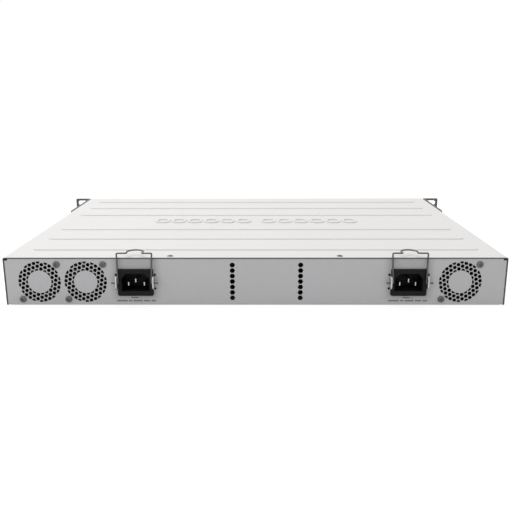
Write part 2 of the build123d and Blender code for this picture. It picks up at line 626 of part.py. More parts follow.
def fan_rotor(x):
    """Cup, shaft and seven twisted blades."""
    with BuildPart() as rotor:
        with BuildSketch(upright(CUP_FRONT)):
            with Locations((x, FAN_Z)):
                Circle(FAN_HUB_R)
        extrude(amount=CUP_FRONT - CUP_BACK)
        fillet(rotor.faces().sort_by(Axis.Y)[-1].edges(), 1.0)
        with BuildSketch(upright(CUP_FRONT - CUP_T)):
            with Locations((x, FAN_Z)):
                Circle(FAN_HUB_R - 1.2)
        extrude(amount=CUP_FRONT - CUP_BACK, mode=Mode.SUBTRACT)
        with BuildSketch(upright(CUP_FRONT - CUP_T)):
            with Locations((x, FAN_Z)):
                Circle(SHAFT_R)
        extrude(amount=CUP_FRONT - CUP_T - FAN_Y - 1.4)
        for k in range(BLADES):
            angle = math.tau * k / BLADES
            for radius, chord, pitch in ((10.1, 11.5, 52), (17.3, 13.0, 36)):
                with BuildSketch(blade_plane(x, angle, radius, math.radians(pitch))):
                    Rectangle(chord, BLADE_T)
            loft()
    return rotor


for number, x in enumerate(FAN_XS, 1):
    save(fan_frame(x), f"fan_frame_{number}")
    save(fan_stator(x), f"fan_stator_{number}")
    save(fan_rotor(x), f"fan_rotor_{number}")

fan_screw = pan_screw(6.0, 1.4, FAN_SCREW_R, 11.0)
with BuildPart() as fan_screws:
    for fan_x in FAN_XS:
        with Locations(*[seat(x, REAR_FACE, z, (0, 1, 0)) for x, z in fan_screw_spots(fan_x)]):
            add(fan_screw)
save(fan_screws, "fan_screws")

# ------------------------------------------------------------------ circuit boards
board_holes = [(x, y) for x in (-198, -101, 0, 101, 198) for y in (-116, -14)]
psu_holes = [(x + a, y) for x in INLET_XS for a in (-23, 23) for y in (26, 118)]

with BuildPart() as main_board:
    with BuildSketch(Plane.XY.offset(BOARD_Z)):
        with Locations((0, (BOARD_FRONT + BOARD_REAR) / 2)):
            Rectangle(BOARD_W, BOARD_REAR - BOARD_FRONT)
        with Locations(*board_holes):
            Circle(1.6, mode=Mode.SUBTRACT)
    extrude(amount=BOARD_T)
save(main_board, "main_board")

for number, x in enumerate(INLET_XS, 1):
    with BuildPart() as psu_board:
        with BuildSketch(Plane.XY.offset(BOARD_Z)):
            with Locations((x, (PSU_FRONT + PSU_REAR) / 2)):
                Rectangle(PSU_W, PSU_REAR - PSU_FRONT)
            with Locations(*psu_holes):
                Circle(1.6, mode=Mode.SUBTRACT)
        extrude(amount=BOARD_T)
    save(psu_board, f"psu_board_{number}")

with BuildPart() as board_standoffs:
    with BuildSketch(Plane.XY.offset(SHEET)):
        with Locations(*board_holes, *psu_holes):
            RegularPolygon(2.75, 6, major_radius=False)
            Circle(1.5, mode=Mode.SUBTRACT)
    extrude(amount=FLOOR_GAP)
save(board_standoffs, "board_standoffs")

board_screw = pan_screw(5.2, 1.6, 1.45, 5.4)
with BuildPart() as board_screws:
    with Locations(*[(x, y, DECK_Z) for x, y in board_holes + psu_holes]):
        add(board_screw)
save(board_screws, "board_screws")


# ------------------------------------------------------------------ chips and heatsinks
def block(x, y, z, w, d, h):
    """Add one rectangular block, centred at x, y and standing on z."""
    with BuildSketch(Plane.XY.offset(z)) as outline:
        with Locations((x, y)):
            Rectangle(w, d)
    extrude(outline.sketch, amount=h)


def finned(x, y, z, w, d, h, fins):
    """Heatsink: a base plate and a row of fins that run front to back."""
    base = 3.0
    fin_t = 1.2
    with BuildPart() as sink:
        block(x, y, z, w, d, base)
        with BuildSketch(Plane.XY.offset(z + base)):
            with Locations((x, y)):
                with GridLocations((w - fin_t) / (fins - 1), 1, fins, 1):
                    Rectangle(fin_t, d)
        extrude(amount=h - base)
    return sink


CHIP_X, CHIP_Y, CHIP_H = -20.0, -62.0, 2.6
CPU_X, CPU_Y, CPU_H = 95.0, -62.0, 1.6
with BuildPart() as switch_chip:
    block(CHIP_X, CHIP_Y, DECK_Z, 38, 38, CHIP_H)
save(switch_chip, "switch_chip")
save(finned(CHIP_X, CHIP_Y, DECK_Z + CHIP_H, 78, 70, 24, 17), "switch_heatsink")
# centre and size of the two memories, the flash and the second network chip
SMALL_CHIPS = ((125, -52, 8, 12), (125, -72, 8, 12), (150, -62, 10, 6), (-150, -70, 14, 14))
SMALL_CHIP_H = 1.1
with BuildPart() as board_chips:
    block(CPU_X, CPU_Y, DECK_Z, 19, 19, CPU_H)
    for x, y, w, d in SMALL_CHIPS:
        block(x, y, DECK_Z, w, d, SMALL_CHIP_H)
save(board_chips, "board_chips")
save(finned(CPU_X, CPU_Y, DECK_Z + CPU_H, 34, 34, 16, 9), "cpu_heatsink")

# ------------------------------------------------------------------ copper port jacks
port_steps = [(k - (PORT_COLUMNS - 1) / 2) * PORT_PITCH for k in range(PORT_COLUMNS)]
port_rise = (JACK_BAR + PORT_H) / 2
CONTACT_PITCH, CONTACT_W = 1.02, 0.4
contact_steps = [(k - 3.5) * CONTACT_PITCH for k in range(8)]


def rj45_housing(mid_x):
    """Moulded housing of a two-row block of jacks, each with its latch recess."""
    with BuildPart() as housing:
        with BuildSketch(upright(FRONT_FACE)):
            with Locations((mid_x, JACK_MID_Z)):
                Rectangle(JACK_W, JACK_H)
        extrude(amount=-JACK_D)
        with BuildSketch(upright(FRONT_FACE)):
            for step in port_steps:
                for side in SIDES:
                    with Locations((mid_x + step, JACK_MID_Z + side * port_rise)):
                        Rectangle(PORT_W, PORT_H)
                    latch_rise = port_rise + (PORT_H + LATCH_H) / 2
                    with Locations((mid_x + step, JACK_MID_Z + side * latch_rise)):
                        Rectangle(LATCH_W, LATCH_H)
        extrude(amount=-PORT_D, mode=Mode.SUBTRACT)
    return housing


def rj45_shield(mid_x):
    """Folded shield over the top, the sides and the back of the housing."""
    with BuildPart() as shield:
        with BuildSketch(upright(FRONT_FACE)):
            with Locations((mid_x, JACK_MID_Z + SHIELD_T / 2)):
                Rectangle(JACK_W + 2 * SHIELD_T, JACK_H + SHIELD_T)
        extrude(amount=-JACK_D - SHIELD_T)
        with BuildSketch(upright(FRONT_FACE)):
            with Locations((mid_x, JACK_MID_Z)):
                Rectangle(JACK_W, JACK_H)
        extrude(amount=-JACK_D, mode=Mode.SUBTRACT)
    return shield


def rj45_contacts(mid_x):
    """Eight sprung contacts in each port, slanting away from the middle bar."""
    with BuildPart() as contacts:
        for side in SIDES:
            bar = JACK_MID_Z + side * JACK_BAR / 2
            outline = [(2.2, 0), (3.6, 0), (12.2, 1.9), (12.2, 2.25), (3.5, 0.35), (2.2, 0.35)]
            with BuildPart(mode=Mode.PRIVATE) as contact:
                with BuildSketch(Plane.YZ.offset(-CONTACT_W / 2)):
                    Polygon(*[(FRONT_FACE + y, bar + side * z) for y, z in outline], align=None)
                extrude(amount=CONTACT_W)
            for port in port_steps:
                with Locations(*[(mid_x + port + step, 0, 0) for step in contact_steps]):
                    add(contact.part)
    return contacts


for number, mid_x in enumerate(JACK_XS, 1):
    save(rj45_housing(mid_x), f"rj45_housing_{number}")
    save(rj45_shield(mid_x), f"rj45_shield_{number}")
    save(rj45_contacts(mid_x), f"rj45_contacts_{number}")

# ------------------------------------------------------------------ optical port cages
sfp_steps = [(k - (SFP_COUNT - 1) / 2) * SFP_PITCH for k in range(SFP_COUNT)]
sfp_floor = DECK_Z + SFP_WALL
sfp_front = FRONT_FACE - SFP_PROUD
with BuildPart() as sfp_cage:
    with BuildSketch(upright(sfp_front)):
        with Locations((SFP_X, DECK_Z + SFP_GANG_H / 2)):
            Rectangle(SFP_GANG_W, SFP_GANG_H)
    extrude(amount=-SFP_D)
    with BuildSketch(upright(sfp_front)):
        with Locations(*[(SFP_X + step, sfp_floor + SFP_H / 2) for step in sfp_steps]):
            Rectangle(SFP_W, SFP_H)
    extrude(amount=SFP_WALL - SFP_D, mode=Mode.SUBTRACT)
save(sfp_cage, "sfp_cage")

with BuildPart() as sfp_connector:
    with BuildSketch(Plane.YZ.offset(-5.5)):
        with Locations((sfp_front + SFP_D - 6, sfp_floor + 2.8)):
            Rectangle(8, 5.6)
        with Locations((sfp_front + SFP_D - 9, sfp_floor + 3.0)):
            Rectangle(4, 1.4, mode=Mode.SUBTRACT)
    extrude(amount=11)
with BuildPart() as sfp_connectors:
    with Locations(*[(SFP_X + step, 0, 0) for step in sfp_steps]):
        add(sfp_connector.part)
save(sfp_connectors, "sfp_connectors")

# ------------------------------------------------------------------ console port, reset, indicators
with BuildPart() as usb_console_port:
    with BuildSketch(upright(FRONT_FACE)):
        with Locations((USB_X, USB_Z)):
            SlotOverall(USB_W, USB_H)
    extrude(amount=-USB_D)
    with BuildSketch(upright(FRONT_FACE)):
        with Locations((USB_X, USB_Z)):
            SlotOverall(USB_W - 2 * USB_WALL, USB_H - 2 * USB_WALL)
    extrude(amount=-USB_D + 1.0, mode=Mode.SUBTRACT)
    with BuildSketch(upright(FRONT_FACE + USB_D - 0.5)):
        with Locations((USB_X, USB_Z)):
            Rectangle(USB_TONGUE_W, USB_TONGUE_T)
    extrude(amount=USB_TONGUE_L)
save(usb_console_port, "usb_console_port")

SWITCH_FACE = FRONT_INNER + 5.0
COLLAR_FRONT, COLLAR_REAR = FRONT_INNER + 0.1, FRONT_INNER + 1.1
reset_steps = (
    (FRONT_FACE - 0.8, COLLAR_FRONT, RESET_R),
    (COLLAR_FRONT, COLLAR_REAR, 2.3),
    (COLLAR_REAR, SWITCH_FACE - RESET_TRAVEL - 0.2, 1.0),
)
with BuildPart() as reset_button:
    for start, end, r in reset_steps:
        with BuildSketch(upright(start)):
            with Locations((RESET_X, RESET_Z)):
                Circle(r)
        extrude(amount=start - end)
save(reset_button, "reset_button")

with BuildPart() as reset_switch:
    block(RESET_X, SWITCH_FACE + 2.5, DECK_Z, 7.0, 5.0, 8.0)
save(reset_switch, "reset_switch")

with BuildPart() as led_light_pipes:
    block(LED_X, FRONT_INNER + 7.5, DECK_Z, LED_PITCH * LED_COUNT, 3.0, 7.0)
    with BuildSketch(upright(FRONT_FACE - 0.3)):
        with Locations((LED_X, LED_Z)):
            with GridLocations(LED_PITCH, 1, LED_COUNT, 1):
                Circle(LED_R)
    extrude(amount=-7.8)
save(led_light_pipes, "led_light_pipes")

# ------------------------------------------------------------------ power supply parts
PSU_MID_Y = 62.0
CORE_W, CORE_D, CORE_H = 20.0, 26.0, 22.0
COIL_W, COIL_D, COIL_H, COIL_RISE = 27.0, 19.0, 12.0, 5.0
BULK_R, BULK_H, BULK_Y, BULK_DX = 8.0, 25.0, 92.0, 9.0
OUTPUT_R, OUTPUT_H, OUTPUT_Y, OUTPUT_STEP = 4.0, 15.0, 38.0, 10.0
SINK_DX, SINK_T, SINK_L, SINK_H = 20.0, 2.5, 50.0, 26.0
CHOKE_DX, CHOKE_Y, CHOKE_R, CHOKE_BORE_R, CHOKE_H = -14.0, 110.0, 7.0, 3.2, 9.0

for number, x in enumerate(INLET_XS, 1):
    with BuildPart() as psu_transformer:
        block(x, PSU_MID_Y, DECK_Z, CORE_W, CORE_D, CORE_H)
        block(x, PSU_MID_Y, DECK_Z + COIL_RISE, COIL_W, COIL_D, COIL_H)
    save(psu_transformer, f"psu_transformer_{number}")

    with BuildPart() as psu_capacitors:
        with BuildSketch(Plane.XY.offset(DECK_Z)):
            with Locations((x, BULK_Y)):
                with GridLocations(2 * BULK_DX, 1, 2, 1):
                    Circle(BULK_R)
        extrude(amount=BULK_H)
        with BuildSketch(Plane.XY.offset(DECK_Z)):
            with Locations((x, OUTPUT_Y)):
                with GridLocations(OUTPUT_STEP, 1, 3, 1):
                    Circle(OUTPUT_R)
        extrude(amount=OUTPUT_H)
    save(psu_capacitors, f"psu_capacitors_{number}")

    with BuildPart() as psu_heatsinks:
        for side in SIDES:
            block(x + side * SINK_DX, PSU_MID_Y, DECK_Z, SINK_T, SINK_L, SINK_H)
    save(psu_heatsinks, f"psu_heatsinks_{number}")

with BuildPart() as psu_chokes:
    with BuildSketch(Plane.XY.offset(DECK_Z)):
        with Locations(*[(x + CHOKE_DX, CHOKE_Y) for x in INLET_XS]):
            Circle(CHOKE_R)
            Circle(CHOKE_BORE_R, mode=Mode.SUBTRACT)
    extrude(amount=CHOKE_H)
save(psu_chokes, "psu_chokes")

# ------------------------------------------------------------------ headers and internal leads
HEADER_D, HEADER_H = 6.0, 7.0
header_face = BOARD_REAR - 4.0
header_y = header_face - HEADER_D / 2
fan_header_xs = (176.0, 150.0, -168.0)
with BuildPart() as board_headers:
    for x in fan_header_xs:
        block(x, header_y, DECK_Z, 10, HEADER_D, HEADER_H)
    for x in INLET_XS:
        block(x, header_y, DECK_Z, 14, HEADER_D, HEADER_H)
        block(x, PSU_FRONT + 5 + HEADER_D / 2, DECK_Z, 14, HEADER_D, HEADER_H)
save(board_headers, "board_headers")

LEAD_R, HARNESS_R, AC_LEAD_R = 1.1, 0.8, 1.2
plug_z = DECK_Z + 3.5
with BuildPart() as fan_leads:
    for x, header_x in zip(FAN_XS, fan_header_xs):
        start_x = x + math.copysign(8, header_x - x)
        route = [(start_x, FAN_Y, 5.5), (start_x, 100, 5.5), ((start_x + header_x) / 2, 58, 5.0),
                 (header_x, 20, plug_z), (header_x, header_face, plug_z)]
        add(lead(route, [60, 60, 40], LEAD_R))
save(fan_leads, "fan_leads")

with BuildPart() as dc_harnesses:
    arch = ((PSU_FRONT + 5, 0), (21, 0), (16, 3), (11, 3), (6, 0), (header_face, 0))
    for x in INLET_XS:
        for step in (-4.5, -1.5, 1.5, 4.5):
            run = [(x + step, y, plug_z + rise) for y, rise in arch]
            add(lead(run, 6, HARNESS_R))
save(dc_harnesses, "dc_harnesses")

# from the blade tails down to the board of each supply
with BuildPart() as ac_leads:
    for x in INLET_XS:
        for blade_x, blade_z in blade_spots(x):
            landing = 113.0 if blade_x == x else 116.0
            run = [(blade_x, BLADE_TAIL_Y, blade_z), (blade_x, landing, blade_z)]
            run.append((blade_x, landing, DECK_Z))
            add(lead(run, 3.5, AC_LEAD_R))
save(ac_leads, "ac_leads")
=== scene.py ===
import json
import math

import bpy
import bmesh
from mathutils import Matrix, Vector


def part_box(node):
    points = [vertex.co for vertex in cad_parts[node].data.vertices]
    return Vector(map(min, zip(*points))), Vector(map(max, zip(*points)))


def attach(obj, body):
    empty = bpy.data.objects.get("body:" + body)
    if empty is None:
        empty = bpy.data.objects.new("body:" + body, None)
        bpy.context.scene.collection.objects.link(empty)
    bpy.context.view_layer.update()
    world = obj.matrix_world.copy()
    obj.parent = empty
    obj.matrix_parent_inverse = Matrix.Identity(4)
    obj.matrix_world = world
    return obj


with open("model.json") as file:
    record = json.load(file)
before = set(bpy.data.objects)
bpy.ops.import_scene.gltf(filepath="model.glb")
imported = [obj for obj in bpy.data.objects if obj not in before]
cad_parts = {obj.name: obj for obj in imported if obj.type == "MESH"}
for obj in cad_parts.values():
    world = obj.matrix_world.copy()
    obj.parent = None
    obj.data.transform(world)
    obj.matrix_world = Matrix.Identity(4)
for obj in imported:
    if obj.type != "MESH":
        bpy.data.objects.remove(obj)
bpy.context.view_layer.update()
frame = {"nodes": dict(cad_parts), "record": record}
NODES = frame["nodes"]
ROOT = "case"
MM = 0.001


def new_object(name, data):
    """A new object that holds this data, linked into the scene."""
    made = bpy.data.objects.new(name, data)
    bpy.context.scene.collection.objects.link(made)
    return made


# ---------------------------------------------------------------- camera
# Place in metres, angles in degrees, lens and sensor in millimetres, shift as a part of the frame.
CAMERA_AT = (-0.00441, 0.6715, 0.1888)
CAMERA_TURN, CAMERA_TILT, CAMERA_ROLL = 180.369, 90.0 - 13.89, -0.109
CAMERA_LENS, CAMERA_SENSOR = 43.65, 36.0
CAMERA_SHIFT_Y = -0.03125

camera_data = bpy.data.cameras.new("camera")
camera_data.sensor_width = CAMERA_SENSOR
camera_data.lens = CAMERA_LENS
camera_data.shift_y = CAMERA_SHIFT_Y
camera_data.clip_start = 0.01
camera_data.clip_end = 200.0
camera = new_object("camera", camera_data)
camera.matrix_world = (
    Matrix.Translation(CAMERA_AT)
    @ Matrix.Rotation(math.radians(CAMERA_TURN), 4, "Z")
    @ Matrix.Rotation(math.radians(CAMERA_TILT), 4, "X")
    @ Matrix.Rotation(math.radians(CAMERA_ROLL), 4, "Z")
)
bpy.context.scene.camera = camera

# ---------------------------------------------------------------- material building blocks
# Sockets of a Mix node, which go by number: those for colours, and those for plain numbers.
COLOUR_A, COLOUR_B, COLOUR_OUT = 6, 7, 2
NUMBER_A, NUMBER_B, NUMBER_OUT = 2, 3, 0
# Most of a noise's values lie between these two.
NOISE_LOW, NOISE_HIGH = 0.3, 0.7


def shade(colour, factor):
    return tuple(min(1.0, c * factor) for c in colour)


class Shader:
    """One node-based material: a principled shader and the helpers that feed it."""

    def __init__(self, name):
        self.material = bpy.data.materials.new(name)
        self.material.use_nodes = True
        self.tree = self.material.node_tree
        self.principled = self.tree.nodes["Principled BSDF"]
        self.coord = self.node("ShaderNodeTexCoord")
        self.colour = None

    def node(self, kind, **settings):
        made = self.tree.nodes.new(kind)
        for key, value in settings.items():
            setattr(made, key, value)
        return made

    def link(self, source, target):
        self.tree.links.new(source, target)

    def stretched(self, stretch):
        """The object's own coordinates, in metres, scaled along each axis."""
        mapping = self.node("ShaderNodeMapping")
        mapping.inputs["Scale"].default_value = stretch
        self.link(self.coord.outputs["Object"], mapping.inputs["Vector"])
        return mapping.outputs["Vector"]

    def noise(self, scale, detail=2.0, rough=0.5, stretch=(1, 1, 1), distortion=0.0):
        """Soft noise; scale is in cycles per metre."""
        made = self.node("ShaderNodeTexNoise")
        made.inputs["Scale"].default_value = scale
        made.inputs["Detail"].default_value = detail
        made.inputs["Roughness"].default_value = rough
        made.inputs["Distortion"].default_value = distortion
        self.link(self.stretched(stretch), made.inputs["Vector"])
        return made.outputs["Fac"]

    def cells(self, scale, feature="F1", stretch=(1, 1, 1)):
        """Distance within a pattern of cells; scale is in cells per metre."""
        made = self.node("ShaderNodeTexVoronoi", feature=feature)
        made.inputs["Scale"].default_value = scale
        self.link(self.stretched(stretch), made.inputs["Vector"])
        return made.outputs["Distance"]

    def band(self, value, low, high, to_low=0.0, to_high=1.0, smooth=False):
        """Remap a value from one range to another, clamped."""
        made = self.node("ShaderNodeMapRange")
        if smooth:
            made.interpolation_type = "SMOOTHSTEP"
        for key, number in (("From Min", low), ("From Max", high), ("To Min", to_low), ("To Max", to_high)):
            made.inputs[key].default_value = number
        self.link(value, made.inputs["Value"])
        return made.outputs["Result"]

    def spread(self, noise, to_low=0.0, to_high=1.0):
        """Spread the middle of a noise over a whole range."""
        return self.band(noise, NOISE_LOW, NOISE_HIGH, to_low, to_high)

    def maths(self, kind, a, b=None):
        made = self.node("ShaderNodeMath", operation=kind)
        for socket, item in zip(made.inputs, (a, b)):
            if item is None:
                continue
            if isinstance(item, (int, float)):
                socket.default_value = item
            else:
                self.link(item, socket)
        return made.outputs["Value"]

    def blend(self, factor, first, second):
        """Mix two colours, or colour sockets, by a number or a factor socket."""
        made = self.node("ShaderNodeMix", data_type="RGBA")
        if isinstance(factor, float):
            made.inputs["Factor"].default_value = factor
        else:
            self.link(factor, made.inputs["Factor"])
        for socket, item in ((made.inputs[COLOUR_A], first), (made.inputs[COLOUR_B], second)):
            if isinstance(item, tuple):
                socket.default_value = (*item, 1.0)
            else:
                self.link(item, socket)
        return made.outputs[COLOUR_OUT]

    def vary(self, factor, colour, low, high):
        """One colour between two shades of itself."""
        return self.blend(factor, shade(colour, low), shade(colour, high))

    def axis(self, letter, normal=False):
        """One component of the object-space position or normal."""
        split = self.node("ShaderNodeSeparateXYZ")
        self.link(self.coord.outputs["Normal" if normal else "Object"], split.inputs["Vector"])
        return split.outputs[letter]

    def paint(self, colour):
        """Take a colour socket as the base colour, in place of an earlier one."""
        self.colour = colour
        self.link(colour, self.principled.inputs["Base Color"])

    def roughen(self, value):
        self.link(value, self.principled.inputs["Roughness"])

    def bump(self, heights):
        """Chain of bumps from (height socket, depth in metres) pairs."""
        normal = None
        for height, depth in heights:
            made = self.node("ShaderNodeBump")
            made.inputs["Strength"].default_value = 1.0
            made.inputs["Distance"].default_value = depth
            self.link(height, made.inputs["Height"])
            if normal is not None:
                self.link(normal, made.inputs["Normal"])
            normal = made.outputs["Normal"]
        self.link(normal, self.principled.inputs["Normal"])

    def set(self, **values):
        for key, value in values.items():
            self.principled.inputs[key.replace("_", " ")].default_value = value


def plain_surface(name, colour, rough, grain=1800.0, stretch=(1, 1, 1), coat=0.0):
    """Slightly varied colour and roughness with a fine grain."""
    made = Shader(name)
    cloud = made.noise(60.0, detail=5.0, rough=0.6, stretch=stretch)
    made.paint(made.vary(made.spread(cloud), colour, 0.95, 1.05))
    speck = made.noise(grain * 0.4, detail=3.0, stretch=stretch)
    made.roughen(made.spread(speck, rough - 0.08, rough + 0.08))
    made.bump([(made.noise(grain, stretch=stretch), 0.015 * MM)])
    made.set(Coat_Weight=coat)
    return made.material


def powder_coat(name, colour, rough, peel=0.022 * MM):
    """Fine-textured powder coat: orange peel a few millimetres wide under a fine grit. Returns its Shader."""
    made = Shader(name)
    cloud = made.noise(14.0, detail=4.0, rough=0.55)
    grit = made.noise(2600.0)
    tone = made.vary(made.spread(cloud), colour, 0.985, 1.015)
    fleck = made.vary(made.band(grit, 0.35, 0.65), colour, 0.96, 1.02)
    made.paint(made.blend(0.4, tone, fleck))
    handled = made.noise(35.0, detail=6.0, rough=0.7, distortion=0.6)
    made.roughen(made.spread(handled, rough - 0.05, rough + 0.06))
    made.bump([(made.noise(420.0), peel), (made.cells(1500.0), 0.5 * peel)])
    made.set(Specular_IOR_Level=0.4)
    return made


def brushed(name, colour, rough, along, scratch=0.003 * MM):
    """Metal with fine lines along one direction: along is the stretch of the noise."""
    made = Shader(name)
    lines = made.noise(2200.0, detail=4.0, rough=0.7, stretch=along)
    stain = made.noise(120.0, detail=5.0, rough=0.6)
    made.paint(made.vary(made.spread(stain), colour, 0.9, 1.06))
    made.roughen(made.spread(lines, rough - 0.1, rough + 0.12))
    made.bump([(lines, scratch)])
    made.set(Metallic=1.0)
    return made.material


def moulded(name, colour, rough, depth=0.012 * MM, gloss=0.5):
    """Spark-eroded moulded plastic."""
    spark = 3200.0
    made = Shader(name)
    made.paint(made.vary(made.noise(90.0, detail=4.0), colour, 0.8, 1.25))
    made.roughen(made.spread(made.noise(spark * 0.3, detail=3.0), rough - 0.07, rough + 0.08))
    made.bump([(made.cells(spark), depth), (made.noise(spark * 0.5), depth)])
    made.set(IOR=1.52, Specular_IOR_Level=gloss)
    return made.material


def circuit_board(name):
    """Solder mask over copper: traces as thin lines between cells, and scattered pads."""
    mask_dark, mask_light, tin = (0.006, 0.060, 0.026), (0.018, 0.135, 0.055), (0.62, 0.58, 0.48)
    flat = (1, 1, 0)
    made = Shader(name)
    traces = made.band(made.cells(210.0, feature="DISTANCE_TO_EDGE", stretch=flat), 0.02, 0.05, 1.0, 0.0)
    pads = made.band(made.cells(420.0, stretch=flat), 0.10, 0.14, 1.0, 0.0)
    made.paint(made.blend(pads, made.blend(traces, mask_dark, mask_light), tin))
    made.roughen(made.spread(made.noise(300.0), 0.22, 0.36))
    made.bump([(traces, 0.015 * MM)])
    return made.material


def winding(name, colour):
    """Enamelled wire wound in close turns."""
    made = Shader(name)
    wave = made.node("ShaderNodeTexWave", wave_type="RINGS", bands_direction="Y")
    wave.inputs["Scale"].default_value = 700.0
    wave.inputs["Distortion"].default_value = 1.5
    made.link(made.coord.outputs["Object"], wave.inputs["Vector"])
    turns = wave.outputs["Fac"]
    made.paint(made.vary(turns, colour, 0.35, 1.0))
    made.roughen(made.band(turns, 0.0, 1.0, 0.5, 0.25))
    made.bump([(turns, 0.1 * MM)])
    made.set(Metallic=0.8)
    return made.material


def ink(name, colour):
    """Printed ink, a little uneven."""
    made = Shader(name)
    made.paint(made.vary(made.noise(900.0, detail=4.0), colour, 0.8, 1.25))
    made.roughen(made.spread(made.noise(2600.0), 0.45, 0.65))
    return made.material


def lamp_window(name):
    """Pale green moulded window over a port lamp."""
    made = Shader(name)
    made.paint(made.blend(made.noise(600.0, detail=3.0), (0.50, 0.62, 0.40), (0.62, 0.72, 0.50)))
    made.roughen(made.spread(made.noise(2400.0), 0.22, 0.38))
    made.bump([(made.noise(3000.0), 0.004 * MM)])
    return made.material


# ---------------------------------------------------------------- finishes of the case's sheets
WHITE = (0.712, 0.697, 0.688)
PANEL_GREY = (0.497, 0.495, 0.505)
# The rear sheet edge's dark grey: a bare cut edge, darkened further as painted shadow of the gap at the rear
# panel.
EDGE_AND_GAP_SHADOW = (0.11, 0.11, 0.113)
# Painted shade: the dark grey laid on the case's inside faces so that the inside stays dim.
INSIDE_SHADE_GREY = (0.06, 0.06, 0.06)
SHEET = 1.2 * MM
EMBOSS = 1.0 * MM
EDGE_SOFT = 0.02 * MM
SKIN = 0.1 * MM
# Reach and tone of the painted shade round each inlet on the rear panel.
SHADE_REACH, SHADE_TONE = 8.0 * MM, 0.82
cover_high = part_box("top_cover")[1]
panel_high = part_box("rear_panel")[1]


def cut_edge(made, colour, middle_y):
    """Lay a dark colour on the faces that look along +Y close to this object-space Y: a bare cut edge, made
    darker as painted shadow of the gap at the rear panel.
    """
    low, high = middle_y - SKIN, middle_y + SKIN
    place = made.axis("Y")
    past_low = made.band(place, low - EDGE_SOFT, low)
    short_of_high = made.band(place, high, high + EDGE_SOFT, 1.0, 0.0)
    faces = made.band(made.axis("Y", normal=True), 0.6, 0.9)
    mask = made.maths("MULTIPLY", made.maths("MULTIPLY", past_low, short_of_high), faces)
    wear = made.noise(900.0, detail=4.0, stretch=(0.15, 1, 1))
    made.paint(made.blend(mask, made.colour, made.vary(wear, colour, 0.8, 1.2)))


def inner_shade(made, half_width, top):
    """Painted shade: a dark grey on everything that lies inside these limits, so the case's inside stays dim.
    """
    across = made.band(made.maths("ABSOLUTE", made.axis("X")), half_width - EDGE_SOFT, half_width, 1.0, 0.0)
    below = made.band(made.axis("Z"), top - EDGE_SOFT, top, 1.0, 0.0)
    inside_shade = made.vary(made.noise(260.0, detail=4.0), INSIDE_SHADE_GREY, 0.8, 1.2)
    made.paint(made.blend(made.maths("MULTIPLY", across, below), made.colour, inside_shade))


def cover_finish():
    """White powder coat, with a dark rear cut edge that is partly painted shadow of the gap at the rear
    panel, and painted shade on the inside.
    """
    made = powder_coat("cover_powder_coat", WHITE, 0.34)
    cut_edge(made, EDGE_AND_GAP_SHADOW, cover_high.y)
    inner_shade(made, cover_high.x - SHEET * 0.6, cover_high.z - EMBOSS - SHEET * 0.9)
    return made.material


def panel_finish():
    """Zinc-grey coated sheet: a soft spangle, painted shade round each inlet, and painted shade on its inside
    face.
    """
    made = powder_coat("panel_zinc_coat", PANEL_GREY, 0.52, peel=0.014 * MM)
    spangle = made.vary(made.band(made.cells(260.0), 0.0, 1.0), PANEL_GREY, 0.97, 1.03)
    coat_and_shade = made.blend(0.5, made.colour, spangle)
    # Painted shade round each inlet: darker beside the inlet and above its foot, fading out within a short
    # reach.
    for number in (1, 2):
        low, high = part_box(f"ac_inlet_{number}")
        half = (high.x - low.x) / 2
        across = made.maths("ABSOLUTE", made.maths("SUBTRACT", made.axis("X"), (low.x + high.x) / 2))
        beside = made.band(across, half, half + SHADE_REACH, 1.0, 0.0, smooth=True)
        above = made.band(made.axis("Z"), low.z - SHADE_REACH, low.z, smooth=True)
        cloudy = made.band(made.noise(110.0, detail=4.0), 0.2, 0.6, 0.75, 1.0)
        painted_shade = made.maths("MULTIPLY", made.maths("MULTIPLY", beside, above), cloudy)
        coat_and_shade = made.blend(painted_shade, coat_and_shade, shade(PANEL_GREY, SHADE_TONE))
    # Painted shade on the panel's inside face.
    behind = made.band(made.axis("Y"), panel_high.y - 2 * SKIN, panel_high.y - SKIN, 1.0, 0.0)
    upper = made.band(made.axis("Z"), SHEET, SHEET + EDGE_SOFT)
    made.paint(made.blend(made.maths("MULTIPLY", behind, upper), coat_and_shade, INSIDE_SHADE_GREY))
    made.set(Metallic=0.1)
    return made.material


